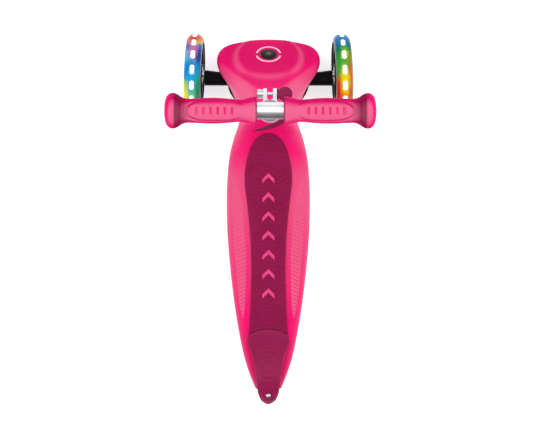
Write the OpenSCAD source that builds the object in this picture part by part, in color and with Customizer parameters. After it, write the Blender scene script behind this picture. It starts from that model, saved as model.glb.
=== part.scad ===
// Three-wheeled lean-to-steer kick scooter for small children.
// Frame: X to the right, Y forward, Z up, millimetres. The origin is on the ground,
// midway between the front of the front wheels and the tail of the brake.

/* [Overall] */
// Length from the front of the front tyres to the tail of the brake
overall_l = 552; // [550:1:555]
// Width over the handlebar grips
handlebar_w = 280; // [262:1:290]
// Height of the handlebar tube's centre, at the lowest setting
handlebar_z = 652; // [640:1:700]

/* [Deck] */
// Wall thickness of the moulded deck
wall = 3; // [2.6:0.1:3.4]
// Height of the standing surface under the grip pad
deck_z = 66; // [66:0.5:67]
// Thickness of the rubber grip pad
pad_t = 1.8; // [1.6:0.1:2.2]

/* [Steering] */
// Lean of the steering column, back from the vertical
column_lean = 11.2; // [10.8:0.1:11.6]
// Tilt of the kingpin, forward from the vertical
king_tilt = 40.6; // [40:0.1:41]
// Distance between the middles of the two front tyres
track = 219; // [217:1:222]
// Camber of the front wheels, tops outward
camber = 2.5; // [0:0.5:3]
// Toe-in of the front wheels
toe_in = 2.4; // [0:0.1:2.5]

/* [Wheels] */
// Diameter of the front wheels
front_wheel_d = 120; // [118:1:122]
// Diameter of the rear wheel
rear_wheel_d = 80; // [78:1:80]
// Width of all tyres
tyre_w = 25; // [22:1:25]
// Number of light windows in each front wheel
lights = 16; // [12:1:18]

/* [Column] */
// Outside diameter of the fixed lower tube
lower_tube_d = 28.6; // [28.6:0.2:29]
// Outside diameter of the sliding upper tube and of the handlebar tube
upper_tube_d = 22.2; // [22:0.1:22.4]

/* [Hidden] */
$fn = 64;

hot_pink = [0.93, 0.10, 0.44];
dark_pink = [0.62, 0.12, 0.32];
silver = [0.80, 0.81, 0.83];
steel = [0.62, 0.64, 0.66];
black = [0.09, 0.09, 0.10];
grey = [0.30, 0.30, 0.32];
white = [0.92, 0.93, 0.95];
clear_blue = [0.15, 0.60, 0.88];

gap = 0.3;
tail_y = -overall_l / 2;
front_r = front_wheel_d / 2;
rear_r = rear_wheel_d / 2;
front_axle_y = overall_l / 2 - front_r;
rear_axle_y = tail_y + 44;

// ---- Curves -------------------------------------------------------------------------------
// A smooth curve through rows of numbers: catmull(rows, t) with t from 0 to len(rows) - 1.
function row_at(rows, i) = rows[max(0, min(len(rows) - 1, i))];
function catmull(rows, t) =
    let (i = min(floor(t), len(rows) - 2), u = t - i,
         a = row_at(rows, i - 1), b = row_at(rows, i), c = row_at(rows, i + 1), d = row_at(rows, i + 2))
    0.5 * (2 * b + u * (c - a) + u * u * (2 * a - 5 * b + 4 * c - d) + u * u * u * (3 * b - a - 3 * c + d));
function smooth_rows(rows, steps) =
    [for (k = [0 : (len(rows) - 1) * steps]) catmull(rows, k / steps)];
function smooth_loop(points, steps) =
    let (n = len(points))
    [for (i = [0 : n - 1], k = [0 : steps - 1])
        let (u = k / steps, a = points[(i + n - 1) % n], b = points[i], c = points[(i + 1) % n],
             d = points[(i + 2) % n])
        0.5 * (2 * b + u * (c - a) + u * u * (2 * a - 5 * b + 4 * c - d) + u * u * u * (3 * b - a - 3 * c + d))];
function power(v, e) = sign(v) * pow(abs(v), e);

// ---- Deck shell ---------------------------------------------------------------------------
// Stations from nose to tail: [y, half width, rim height, centre height, lower edge height].
deck_rows = [
    [260, 0.6, 95, 97, 87], [258.6, 30, 95, 99, 86], [253.5, 56, 95, 103.4, 85.5],
    [244, 70.5, 95.5, 111.5, 85], [230, 75.8, 95.5, 123.3, 85], [214, 72.6, 93, 137, 85],
    [192, 59.8, 88, 152.5, 82], [172, 48.6, 80, 156, 75], [155, 43.0, 73, 150, 62],
    [141, 43.0, 69, 137, 52], [132, 45.6, 67, 122, 47], [126, 47.9, 66, 106, 45],
    [120, 50.2, 65, 92.5, 43], [112, 52.6, 63.5, 81.5, 41.5], [102, 55.2, 62.3, 74.5, 40],
    [89, 57.6, 61.3, 69.8, 39], [70, 59.6, 60.5, 67.2, 38], [35, 61.2, 60, deck_z, 37.5],
    [-20, 60.4, 60, deck_z, 37.5], [-75, 56.0, 60, deck_z, 37.5], [-125, 50.2, 60, deck_z, 37],
    [-170, 43.0, 60, deck_z, 35.5], [-205, 35.6, 60, deck_z - 0.5, 31.5],
    [-230, 27.8, 58.5, deck_z - 2, 28.5], [-250, 19.5, 54, deck_z - 7, 31]];
deck_steps = 2;
deck_stations = smooth_rows(deck_rows, deck_steps);
arch_points = 10;
dome_power = 0.82;
flat_power = 0.5;
// The crown is a round dome on the nose and nearly flat on the deck.
function arch_power(y) = y > 150 ? dome_power : y < 95 ? flat_power
    : flat_power + (dome_power - flat_power) * (y - 95) / 55;
// One section, from the left lower edge over the top to the right lower edge.
function deck_section(s, t) =
    let (y = s[0], w = max(s[1] - t, 0.3), rim = s[2] - t * 0.4, top = s[3] - t, low = s[4],
         e = arch_power(y), drop = rim - low, draft = min(3.6, w * 0.3),
         right = [for (k = [0 : arch_points])
             let (a = 90 * k / arch_points)
             [w * pow(sin(a), e), rim + (top - rim) * pow(cos(a), e)]],
         side = [[w - draft * 0.12, rim - drop * 0.3], [w - draft * 0.45, rim - drop * 0.68], [w - draft, low]])
    concat([for (k = [2 : -1 : 0]) [-side[k][0], y, side[k][1]]],
           [for (k = [arch_points : -1 : 1]) [-right[k][0], y, right[k][1]]],
           [for (p = right) [p[0], y, p[1]]],
           [for (p = side) [p[0], y, p[1]]]);
function clamp_y(s, t) = concat([max(deck_rows[len(deck_rows) - 1][0] + t, min(deck_rows[0][0] - t, s[0]))],
    [s[1], s[2], s[3], s[4]]);
// A thick-walled cup: an outer and an inner skin of equal grids, joined along their lower edges.
module cup(outer, inner) {
    rows = len(outer);
    cols = len(outer[0]);
    n = rows * cols;
    points = concat([for (r = outer, p = r) p], [for (r = inner, p = r) p]);
    function at(j, i) = j * cols + i;
    skins = [for (j = [0 : rows - 2], i = [0 : cols - 2]) each [
        [at(j, i), at(j, i + 1), at(j + 1, i + 1)], [at(j, i), at(j + 1, i + 1), at(j + 1, i)],
        [n + at(j, i), n + at(j + 1, i + 1), n + at(j, i + 1)],
        [n + at(j, i), n + at(j + 1, i), n + at(j + 1, i + 1)]]];
    edges = [for (j = [0 : rows - 2]) each [
        [at(j, 0), at(j + 1, 0), n + at(j + 1, 0)], [at(j, 0), n + at(j + 1, 0), n + at(j, 0)],
        [at(j, cols - 1), n + at(j + 1, cols - 1), at(j + 1, cols - 1)],
        [at(j, cols - 1), n + at(j, cols - 1), n + at(j + 1, cols - 1)]]];
    half = floor(cols / 2);
    caps = [for (i = [0 : half - 1]) let (a = i, b = i + 1, c = cols - 2 - i, d = cols - 1 - i)
        each concat(b == c ? [] : [[at(0, a), at(0, c), at(0, b)]],
            [[at(0, a), at(0, d), at(0, c)]],
            b == c ? [] : [[n + at(0, a), n + at(0, b), n + at(0, c)]],
            [[n + at(0, a), n + at(0, c), n + at(0, d)]],
            b == c ? [] : [[at(rows - 1, a), at(rows - 1, b), at(rows - 1, c)]],
            [[at(rows - 1, a), at(rows - 1, c), at(rows - 1, d)]],
            b == c ? [] : [[n + at(rows - 1, a), n + at(rows - 1, c), n + at(rows - 1, b)]],
            [[n + at(rows - 1, a), n + at(rows - 1, d), n + at(rows - 1, c)]])];
    lips = [[at(0, 0), n + at(0, 0), n + at(0, cols - 1)], [at(0, 0), n + at(0, cols - 1), at(0, cols - 1)],
        [at(rows - 1, 0), n + at(rows - 1, cols - 1), n + at(rows - 1, 0)],
        [at(rows - 1, 0), at(rows - 1, cols - 1), n + at(rows - 1, cols - 1)]];
    polyhedron(points = points, faces = concat(skins, edges, caps, lips));
}

// A sheet: an upper and a lower skin of equal grids, joined along all four edges.
module slab(upper, lower) {
    rows = len(upper);
    cols = len(upper[0]);
    n = rows * cols;
    points = concat([for (r = upper, p = r) p], [for (r = lower, p = r) p]);
    function at(j, i) = j * cols + i;
    skins = [for (j = [0 : rows - 2], i = [0 : cols - 2]) each [
        [at(j, i), at(j, i + 1), at(j + 1, i + 1)], [at(j, i), at(j + 1, i + 1), at(j + 1, i)],
        [n + at(j, i), n + at(j + 1, i + 1), n + at(j, i + 1)],
        [n + at(j, i), n + at(j + 1, i), n + at(j + 1, i + 1)]]];
    sides = [for (j = [0 : rows - 2]) each [
        [at(j, 0), at(j + 1, 0), n + at(j + 1, 0)], [at(j, 0), n + at(j + 1, 0), n + at(j, 0)],
        [at(j, cols - 1), n + at(j + 1, cols - 1), at(j + 1, cols - 1)],
        [at(j, cols - 1), n + at(j, cols - 1), n + at(j + 1, cols - 1)]]];
    ends = [for (i = [0 : cols - 2]) each [
        [at(0, i), n + at(0, i), n + at(0, i + 1)], [at(0, i), n + at(0, i + 1), at(0, i + 1)],
        [at(rows - 1, i), n + at(rows - 1, i + 1), n + at(rows - 1, i)],
        [at(rows - 1, i), at(rows - 1, i + 1), n + at(rows - 1, i + 1)]]];
    polyhedron(points = points, faces = concat(skins, sides, ends));
}

// ---- Frames of the inclined axes ----------------------------------------------------------
// Column: local Z runs up along the tube. Its origin is where the tube leaves the neck.
column_origin = [0, 147, 130];
function along_column(z) = (z - column_origin[2]) / cos(column_lean);
module on_column() { translate(column_origin) rotate([column_lean, 0, 0]) children(); }
// Kingpin: local Z runs up and forward, out through the middle of the lock button.
king_origin = [0, 231.8, 122];
module on_kingpin() { translate(king_origin) rotate([-king_tilt, 0, 0]) children(); }
// Right front wheel: local X points out of the wheel along its axle.
module on_right_wheel() {
    translate([track / 2, front_axle_y, front_r]) rotate([0, camber, toe_in]) children();
}
module on_left_wheel() { mirror([1, 0, 0]) on_right_wheel() children(); }
module on_rear_wheel() { translate([0, rear_axle_y, rear_r]) children(); }
module along_x(from, to, r) { translate([from, 0, 0]) rotate([0, 90, 0]) cylinder(h = to - from, r = r); }
module ring_x(from, to, r_in, r_out) {
    difference() {
        along_x(from, to, r_out);
        along_x(from - 1, to + 1, r_in);
    }
}
module tube(from, to, r_in, r_out) {
    translate([0, 0, from]) difference() {
        cylinder(h = to - from, r = r_out);
        translate([0, 0, -1]) cylinder(h = to - from + 2, r = r_in);
    }
}

slot_half = 15;
fork_out = 18.4;
slot_start_y = -185;
bay_half = 24;
brake_pivot = [0, -176, 59];
brake_pin_r = 2.2;
button_r = 12;
// The seam between pad and brake: the radius of its arc, and where its middle lies.
seam_r = 56;
seam_front = -165.8;
module deck_shell() {
    color(hot_pink) difference() {
        cup([for (s = deck_stations) deck_section(s, 0)],
            [for (s = deck_stations) deck_section(clamp_y(s, wall), wall)]);
        translate([-slot_half, -300, 20]) cube([2 * slot_half, 300 + slot_start_y, 80]);
        translate([-bay_half, brake_pivot[1] - 11, 50]) cube([2 * bay_half, 19, 30]);
        translate([0, 0, 62.5]) linear_extrude(20) intersection() {
            translate([0, seam_front - seam_r]) circle(seam_r);
            translate([-28.4, brake_pivot[1] - 11]) square([56.8, 24]);
        }
        on_rear_wheel() along_x(-60, 60, 7.6);
        on_kingpin() translate([0, 0, -14]) cylinder(h = 40, r = button_r + 0.5);
        on_column() translate([0, 0, -8]) cylinder(h = 60, r = lower_tube_d / 2 + 0.3);
    }
}

// ---- Deck core: the ribbed plate under the deck, with the rear fork ------------------------
core_rows = [for (s = deck_stations) if (s[0] < 104 && s[0] > -246) s];
function core_outline(inset) = concat([for (s = core_rows) [s[1] - inset, s[0]]],
    [for (i = [len(core_rows) - 1 : -1 : 0]) [inset - core_rows[i][1], core_rows[i][0]]]);
core_low = 40;
core_cell = 15;
core_pitch = 25;
module core_cells() {
    intersection() {
        polygon(core_outline(10));
        union() {
            for (i = [-3 : 3], j = [-13 : 5])
                if ((i + j) % 2 == 0)
                    translate([i * core_pitch / 2 * 1.1, j * core_pitch / 2 + 4]) rotate(45) square(core_cell, center = true);
        }
        translate([-60, -152]) square([120, 224]);
    }
}
module rear_fork_slot() {
    translate([-slot_half, -300, 20]) cube([2 * slot_half, 300 + slot_start_y, 80]);
    translate([-bay_half + 1, brake_pivot[1] - 11, 50]) cube([2 * bay_half - 2, 19, 30]);
}
module deck_core() {
    color(black) difference() {
        union() {
            translate([0, 0, core_low]) linear_extrude(16.5) difference() {
                polygon(core_outline(6.6));
                core_cells();
            }
            translate([0, 0, core_low + 15.5]) linear_extrude(6.5) polygon(core_outline(16.5));
            for (side = [-1, 1]) translate([side * (slot_half + fork_out) / 2, rear_axle_y, rear_r])
                rotate([0, 90, 0]) cylinder(h = fork_out - slot_half, r = 9.5, center = true);
        }
        rear_fork_slot();
        on_rear_wheel() along_x(-40, 40, 4.1);
        for (side = [0, 1]) mirror([side, 0, 0]) on_rear_wheel() along_x(fork_out, 60, 7.6);
        translate(brake_pivot) along_x(-40, 40, brake_pin_r);
        for (p = core_screw_places) translate([p[0], p[1], 0]) cylinder(h = 59, r = 1.6);
        for (side = [-1, 1]) translate([side * strap_screw[0], strap_screw[1], 0]) cylinder(h = 59, r = 1.6);
    }
}
strap_screw = [13, 90];
core_screw_places = [[-41, 55], [41, 55], [-38, -55], [38, -55], [-27, -136], [27, -136]];
module core_screws() {
    color(steel) for (p = core_screw_places) translate([p[0], p[1], core_low]) socket_screw(18);
}

// ---- Grip pad and its accents --------------------------------------------------------------
// Outline of the pad: [y, half width].
pad_rows = [[120.5, 0.8], [119, 10], [113, 19], [102, 26.4], [88, 31], [74, 33.8], [59, 34.9], [45, 34.2],
    [16, 30.7], [-12, 27.9], [-40, 26.0], [-70, 25.0], [-100, 25.3], [-127, 26.3], [-150, 27.5], [-166.2, 28.9]];
pad_stations = smooth_rows(pad_rows, 2);
pad_cols = 10;
// Height and half width of the deck's centre line at any y, by walking its stations.
function station_at(y, i = 0) =
    i >= len(deck_stations) - 2 || deck_stations[i + 1][0] <= y
        ? let (a = deck_stations[i], b = deck_stations[i + 1], u = (a[0] - y) / (a[0] - b[0])) a + u * (b - a)
        : station_at(y, i + 1);
// Height of the deck's upper surface over any point.
function deck_height(x, y) =
    let (s = station_at(y), e = arch_power(y), r = min(1, abs(x) / s[1]))
    s[2] + (s[3] - s[2]) * pow(max(0, 1 - pow(r, 2 / e)), e / 2);
// Behind the last row the pad's end follows the arc of the brake's front edge.
function seam_y(x, y, share) = y - share * (seam_r - sqrt(seam_r * seam_r - x * x));
module pad_sheet(lift) {
    outer = [for (s = pad_stations) [for (i = [0 : 2 * pad_cols])
        let (x = s[1] * (i - pad_cols) / pad_cols, share = max(0, min(1, (-60 - s[0]) / 105)),
             y = seam_y(x, s[0], share))
        [x, y, deck_height(x, y) + pad_t]]];
    slab(outer, [for (r = outer) [for (p = r) [p[0], p[1], p[2] - pad_t + lift]]]);
}
module grip_pad() { color(dark_pink) pad_sheet(0.25); }
accent_count = 7;
accent_pitch = 28.6;
accent_first_y = 55;
accent_size = 9;
module pad_accents() {
    color(hot_pink) for (k = [0 : accent_count - 1])
        let (y = accent_first_y - k * accent_pitch)
        translate([0, y, deck_height(0, y + 10.5) + pad_t + 0.05]) linear_extrude(0.6)
            polygon([[-accent_size, -5], [0, 4], [accent_size, -5], [accent_size, 1.5], [0, 10.5],
                [-accent_size, 1.5]]);
}

// ---- Steering head: holds the column and the kingpin inside the nose ------------------------
king_bolt_r = 5;
head_top = -16;
head_low = -65;
socket_low = -45;
socket_top = -20;
strap_t = 3.5;
module steering_head() {
    color(black) difference() {
        union() {
            on_column() translate([0, 0, socket_low]) cylinder(h = socket_top - socket_low, r = 18);
            on_kingpin() translate([0, 0, head_low]) cylinder(h = head_top - head_low, r = 18);
            translate([-6, 160, 92]) cube([12, 48, 20]);
            translate([-7, 126, core_low - strap_t]) cube([14, 20, 62]);
            translate([-20, 84, core_low - strap_t]) cube([40, 62, strap_t]);
        }
        on_column() translate([0, 0, socket_low + 4]) cylinder(h = 80, r = lower_tube_d / 2);
        on_column() translate([0, 0, socket_low - 1]) cylinder(h = 8, r = 4.2);
        on_kingpin() translate([0, 0, -80]) cylinder(h = 100, r = king_bolt_r);
        on_kingpin() translate([0, 0, -38]) cylinder(h = 60, r = 13.5);
        for (side = [-1, 1]) translate([side * strap_screw[0], strap_screw[1], 0]) cylinder(h = 50, r = 1.6);
    }
}
module socket_screw(length) {
    translate([0, 0, -2.4]) difference() {
        cylinder(h = 2.4, r = 3.4);
        translate([0, 0, -0.1]) cylinder(h = 1.4, r = 1.5, $fn = 6);
    }
    cylinder(h = length, r = 1.5);
}
module head_screws() {
    color(steel) for (side = [-1, 1])
        translate([side * strap_screw[0], strap_screw[1], core_low - strap_t]) socket_screw(18);
}
module column_bolt() {
    color(steel) on_column() {
        translate([0, 0, socket_low - 5]) difference() {
            cylinder(h = 5, r = 6.5);
            translate([0, 0, -0.1]) cylinder(h = 3, r = 2.9, $fn = 6);
        }
        translate([0, 0, socket_low]) cylinder(h = 18, r = 4);
        translate([0, 0, socket_low + 12]) tube(0, 8, 4, lower_tube_d / 2 - 1.6);
    }
}

// ---- Column, clamp and handlebar -----------------------------------------------------------
lower_tube_top = 440;
lower_tube_wall = 1.6;
clamp_low = 416;
clamp_h = 22;
clamp_r = 16.2;
ear_in = 4.2;
ear_out = 9.2;
bolt_y = 22.5;
cam = [20.4, bolt_y];
cam_r = 9.8;
lever_h = 18;
bar_local_z = along_column(handlebar_z);
upper_r = upper_tube_d / 2;
module lower_column() {
    color(silver) on_column() difference() {
        tube(socket_low + 4, lower_tube_top, lower_tube_d / 2 - lower_tube_wall, lower_tube_d / 2);
        translate([-2, 0, clamp_low - 12]) cube([4, 40, lower_tube_top - clamp_low + 20]);
    }
}
bush_r = lower_tube_d / 2 - lower_tube_wall;
module column_bush() {
    color(dark_pink) on_column() {
        tube(lower_tube_top - 48, lower_tube_top, upper_r + 0.08, bush_r);
        tube(lower_tube_top, lower_tube_top + 2.5, upper_r + 0.08, lower_tube_d / 2 + 0.4);
    }
}
module clamp_collar() {
    color(silver) on_column() translate([0, 0, clamp_low]) difference() {
        union() {
            cylinder(h = clamp_h, r = clamp_r);
            for (side = [-1, 1]) translate([side * (ear_in + ear_out) / 2, 0, clamp_h / 2]) {
                translate([0, 19, 0]) cube([ear_out - ear_in, 18, clamp_h - 4], center = true);
                translate([0, 28, 0]) rotate([0, 90, 0]) intersection() {
                    cylinder(h = ear_out - ear_in, r = clamp_h / 2 - 2, center = true);
                    translate([0, -2.5, 0]) cube([clamp_h, 9, clamp_h], center = true);
                }
            }
            translate([0, 13.2, clamp_h / 2]) cube([2 * ear_out, 4, clamp_h - 4], center = true);
        }
        translate([0, 0, -1]) cylinder(h = clamp_h + 2, r = lower_tube_d / 2);
        translate([-2, 0, -1]) cube([4, 40, clamp_h + 2]);
        translate([0, bolt_y, clamp_h / 2]) along_x(-20, 20, 2.6);
    }
}
module on_clamp_bolt() { on_column() translate([0, bolt_y, clamp_low + clamp_h / 2]) children(); }
module clamp_bolt() {
    color(steel) on_clamp_bolt() difference() {
        union() {
            along_x(-17.5, cam[0] - 3, 2.5);
            translate([cam[0], 0, 0]) cylinder(h = 6, r = 5, center = true);
        }
        translate([cam[0], 0, 0]) cylinder(h = 10, r = 2.55, center = true);
    }
}
module clamp_nut() {
    color(steel) on_clamp_bolt() difference() {
        union() {
            along_x(-16.8, -ear_out - 1.2, 6.3);
            along_x(-ear_out - 1.2, -ear_out, 5.2);
        }
        along_x(-20, 0, 2.5);
    }
}
module clamp_saddle() {
    color(black) on_clamp_bolt() intersection() {
        difference() {
            ring_x(ear_out, ear_out + 3.4, 2.7, 7);
            translate([cam[0], 0, 0]) cylinder(h = 40, r = cam_r + gap, center = true);
        }
        translate([-30, -10, -6.5]) cube([60, 20, 13]);
    }
}
// The slot lets the bolt pass while the lever swings open: half its width, and where it ends.
slot_w = 3.2;
lever_rest = 30;
// Outline of the lever's arm around the back of the clamp.
lever_points = [[26.5, 22], [29.2, 12], [27.6, -1], [23.4, -11.6], [15.5, -18.8], [3, -24], [-9, -26.8],
    [-17.5, -27.6], [-22.4, -26.8], [-18.6, -24.8], [-9, -21.9], [0, -18.4], [9.5, -15], [16, -8.6],
    [18.6, 1], [18.4, 11], [15.5, 16]];
module clamp_lever() {
    color(dark_pink) on_column() translate([0, 0, clamp_low + clamp_h / 2]) difference() {
        union() {
            translate([0, 0, -lever_h / 2]) linear_extrude(lever_h) polygon(smooth_loop(lever_points, 4));
            translate([cam[0], cam[1], -lever_h / 2]) cylinder(h = lever_h, r = cam_r);
        }
        translate([cam[0], cam[1], -lever_h]) cylinder(h = 2 * lever_h, r = 2.5);
        translate([cam[0], cam[1], 0]) cylinder(h = 7, r = 6, center = true);
        translate([cam[0], cam[1], -3.5]) linear_extrude(7) polygon([[0, -slot_w], [-22, -slot_w], [-22, 22],
            [22, 22], [22 * cos(lever_rest) + slot_w * sin(lever_rest), 22 * sin(lever_rest) - slot_w * cos(lever_rest)],
            [slot_w * sin(lever_rest), -slot_w * cos(lever_rest)]]);
    }
}
module lever_pin() {
    color(steel) on_clamp_bolt() translate([cam[0], 0, -lever_h / 2]) cylinder(h = lever_h, r = 2.5);
}
upper_low = 280;
module upper_column() {
    color(silver) on_column() difference() {
        tube(upper_low, bar_local_z, upper_r - 1.5, upper_r);
        translate([0, 0, bar_local_z]) along_x(-30, 30, upper_r);
    }
}
module tube_guide() {
    color(black) on_column() {
        tube(upper_low - 3, upper_low, upper_r - 1.5, bush_r - 0.1);
        tube(upper_low - 3, upper_low + 12, upper_r - 3, upper_r - 1.5);
    }
}
module on_handlebar() { on_column() translate([0, 0, bar_local_z]) children(); }
bar_half = handlebar_w / 2 - 10;
module handlebar_tube() { color(silver) on_handlebar() ring_x(-bar_half, bar_half, upper_r - 1.8, upper_r); }
module bar_plugs() {
    color(black) on_handlebar() for (side = [-1, 1]) scale([side, 1, 1]) {
        along_x(bar_half - 12, bar_half, upper_r - 1.8);
        along_x(bar_half, bar_half + 1.5, upper_r);
    }
}
// Outline of a grip: [distance from the bar's middle, radius].
grip_rows = [[17.8, 16.8], [18.6, 18.3], [21, 18.9], [27, 17.7], [38, 14.9], [50, 15.5], [62, 16.6], [74, 17.1],
    [88, 16.9], [102, 16.2], [111, 16.2], [117, 18.2], [122, 21.6], [128, 23.7], [133.5, 22.4], [137.6, 17.6],
    [139.6, 9.5]];
grip_stretch = handlebar_w / 280;
grip_profile = concat([[17.8, upper_r]],
    [for (p = smooth_rows(grip_rows, 2)) [p[0] * grip_stretch, p[1]]],
    [[handlebar_w / 2, 4], [handlebar_w / 2, 0], [bar_half + 1.5, 0], [bar_half + 1.5, upper_r]]);
module grip() {
    rotate([0, 90, 0]) rotate_extrude() polygon([for (p = grip_profile) [p[1], p[0]]]);
}
module grip_right() { color(hot_pink) on_handlebar() grip(); }
module grip_left() { color(hot_pink) on_handlebar() mirror([1, 0, 0]) grip(); }

// ---- Kingpin and steering lock -------------------------------------------------------------
hub_top = -66;
hub_low = -98;
module kingpin_bolt() {
    color(steel) on_kingpin() {
        translate([0, 0, -44]) mirror([0, 0, 1]) cylinder(h = -hub_low - 44 + 3, r = king_bolt_r);
        translate([0, 0, hub_low - 9.5]) cylinder(h = 6.5, r = 8.6, $fn = 6);
        translate([0, 0, -44]) cylinder(h = 10, r = king_bolt_r);
    }
}
module kingpin_nut() {
    color(steel) on_kingpin() difference() {
        translate([0, 0, -36]) cylinder(h = 7, r = 8.8, $fn = 6);
        translate([0, 0, -50]) cylinder(h = 40, r = king_bolt_r);
    }
}
module kingpin_washers() {
    color(silver) on_kingpin() {
        tube(-38, -36, king_bolt_r, 10);
        tube(hub_low - 3, hub_low - 1.2, king_bolt_r, 11);
    }
}
button_travel = 4;
module lock_button() {
    color(black) on_kingpin() difference() {
        union() {
            translate([0, 0, -10]) cylinder(h = 11, r = button_r);
            translate([0, 0, -5.2]) intersection() {
                translate([0, 0, -32]) sphere(r = 40.4);
                cylinder(h = 20, r = button_r);
            }
        }
        translate([0, 0, -12]) cylinder(h = 8, r = 9);
    }
}
// A wire coil about local Z, as a swept tube.
module coil(r, wire, turns, height) {
    steps = turns * 14;
    sides = 6;
    function centre(k) = [r * cos(360 * turns * k / steps), r * sin(360 * turns * k / steps), height * k / steps];
    points = [for (k = [0 : steps], i = [0 : sides - 1])
        let (a = 360 * turns * k / steps, b = 360 * i / sides)
        centre(k) + [wire * cos(b) * cos(a), wire * cos(b) * sin(a), wire * sin(b)]];
    walls = [for (k = [0 : steps - 1], i = [0 : sides - 1])
        let (a = k * sides + i, b = k * sides + (i + 1) % sides, c = a + sides, d = b + sides)
        each [[a, d, b], [a, c, d]]];
    ends = [[for (i = [0 : sides - 1]) i], [for (i = [sides - 1 : -1 : 0]) steps * sides + i]];
    polyhedron(points = points, faces = concat(walls, ends));
}
module lock_spring() { color(silver) on_kingpin() translate([0, 0, -27]) coil(6, 0.6, 5, 22.2); }

// ---- Truck: the leaning front axle ---------------------------------------------------------
arm_z = 60;
arm_y = front_axle_y - 7.5;
plate_half = [60.5, 46];
module truck_arm() {
    hull() for (x = [50, track / 2 - 19.2], s = [[arm_y - 1.6, 8], [arm_y + 4.4, 6.6]])
        translate([x, s[0], arm_z - 0.4]) rotate([0, 90, 0]) cylinder(h = 4, r = s[1], $fn = 28);
    hull() for (s = [[34, 4.4], [19.2, 6.6]])
        translate([track / 2 - s[0], arm_y + s[1], arm_z - 0.4]) rotate([0, 90, 0]) cylinder(h = 4, r = 6.6, $fn = 28);
}
module truck_frame() {
    color(black) difference() {
        union() {
            intersection() {
                translate([0, 205, arm_z - 8]) linear_extrude(10)
                    polygon([for (k = [0 : 47]) [plate_half[0] * cos(7.5 * k), plate_half[1] * sin(7.5 * k)]]);
                translate([-70, 100, 0]) cube([140, arm_y - 100 + 9, 100]);
            }
            translate([-52, arm_y - 9, arm_z - 8]) cube([104, 18, 12]);
            truck_arm();
            mirror([1, 0, 0]) truck_arm();
            on_kingpin() translate([0, 0, hub_low]) cylinder(h = hub_top - hub_low, r = 22);
            for (side = [0, 1]) mirror([side, 0, 0]) on_right_wheel() along_x(-22, -14.6, 5.6);
        }
        on_kingpin() translate([0, 0, hub_top]) cylinder(h = 80, r = 19.5);
        on_kingpin() translate([0, 0, hub_low - 40]) cylinder(h = 40, r = 24);
        on_kingpin() translate([0, 0, -150]) cylinder(h = 150, r = 7);
        for (side = [0, 1]) mirror([side, 0, 0]) on_right_wheel() along_x(-60, 0, 4);
    }
}
module truck_bushes() {
    color(silver) on_kingpin() {
        difference() {
            union() {
                translate([0, 0, hub_low]) cylinder(h = 14, r = 7);
                translate([0, 0, hub_low - 1]) cylinder(h = 1, r = 11);
            }
            translate([0, 0, hub_low - 5]) cylinder(h = 30, r = king_bolt_r + 0.06);
        }
        difference() {
            translate([0, 0, hub_top - 14]) cylinder(h = 14, r = 7);
            translate([0, 0, hub_top - 20]) cylinder(h = 30, r = king_bolt_r + 0.06);
        }
    }
}
module steering_elastomer() { color(grey) on_kingpin() tube(hub_top + 0.1, head_low, 8, 17.5); }
module front_axle_bolts() {
    color(steel) for (side = [0, 1]) mirror([side, 0, 0]) on_right_wheel() {
        along_x(-36, 10.5, 4);
        difference() {
            along_x(10.5, 15.5, 6.5);
            translate([13.5, 0, 0]) rotate([0, 90, 0]) cylinder(h = 4, r = 2.9, $fn = 6);
        }
    }
}
module front_axle_washers() {
    color(silver) for (side = [0, 1]) mirror([side, 0, 0]) on_right_wheel() ring_x(-14.6, -12.3, 4, 6);
}

// ---- Wheels --------------------------------------------------------------------------------
bearing_r = 11;
bearing_w = 7;
bore_r = 4;
half_w = tyre_w / 2;
// A round tread: a half ellipse on two straight shoulders, from inner radius r_in.
module tyre(r, r_in, crown) {
    profile = concat([[r_in, -half_w + 2], [r_in + 1.5, -half_w]],
        [for (k = [0 : 12]) let (a = -90 + 15 * k) [r - crown + crown * cos(a), half_w * sin(a)]],
        [[r_in + 1.5, half_w], [r_in, half_w - 2]]);
    rotate([0, 90, 0]) rotate_extrude() polygon(profile);
}
light_in = front_r - 16.5;
light_out = front_r - 12.5;
module front_tyre() { tyre(front_r, light_out, 11); }
module light_ring() {
    difference() {
        ring_x(-half_w + 4, half_w - 4, light_in, light_out);
        for (k = [0 : lights - 1]) rotate([360 * k / lights, 0, 0])
            translate([0, 0, light_out]) rotate([90, 0, 0]) cylinder(h = 5, r = 1.6, center = true);
    }
}
spoke_count = 6;
module front_hub() {
    difference() {
        union() {
            ring_x(-half_w + 2, half_w - 2, light_in - 5, light_in);
            along_x(-half_w + 0.5, half_w - 2, 15.5);
            for (k = [0 : spoke_count - 1]) rotate([360 * k / spoke_count, 0, 0])
                translate([-half_w + 4.5, -4.5, 13]) cube([tyre_w - 9, 9, light_in - 16]);
            along_x(-1.5, 1.5, light_in - 3);
        }
        wheel_seats(-half_w + 0.5, half_w - 2);
    }
}
module wheel_seats(from, to) {
    along_x(from - 1, from + bearing_w, bearing_r);
    along_x(to - bearing_w, to + 1, bearing_r);
    along_x(-20, 20, bearing_r - 2);
}
module bearing_pair(from, to) {
    for (x = [from, to - bearing_w]) {
        ring_x(x, x + bearing_w, bearing_r - 2.4, bearing_r);
        ring_x(x, x + bearing_w, bore_r + 0.04, bore_r + 2.2);
        ring_x(x + 0.8, x + bearing_w - 0.8, bore_r + 2.2, bearing_r - 2.4);
    }
}
module inner_spacer(from, to) { ring_x(from + bearing_w, to - bearing_w, bore_r + 0.04, bore_r + 2); }
module hub_cap() {
    difference() {
        along_x(half_w - 2, half_w - 0.8, 15.5);
        along_x(0, half_w + 1, 8.5);
    }
}
module left_tyre() { color(clear_blue) on_left_wheel() front_tyre(); }
module left_light_ring() { color(white) on_left_wheel() light_ring(); }
module left_hub() { color(black) on_left_wheel() front_hub(); }
module left_bearings() { color(steel) on_left_wheel() bearing_pair(-half_w + 0.5, half_w - 2); }
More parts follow.
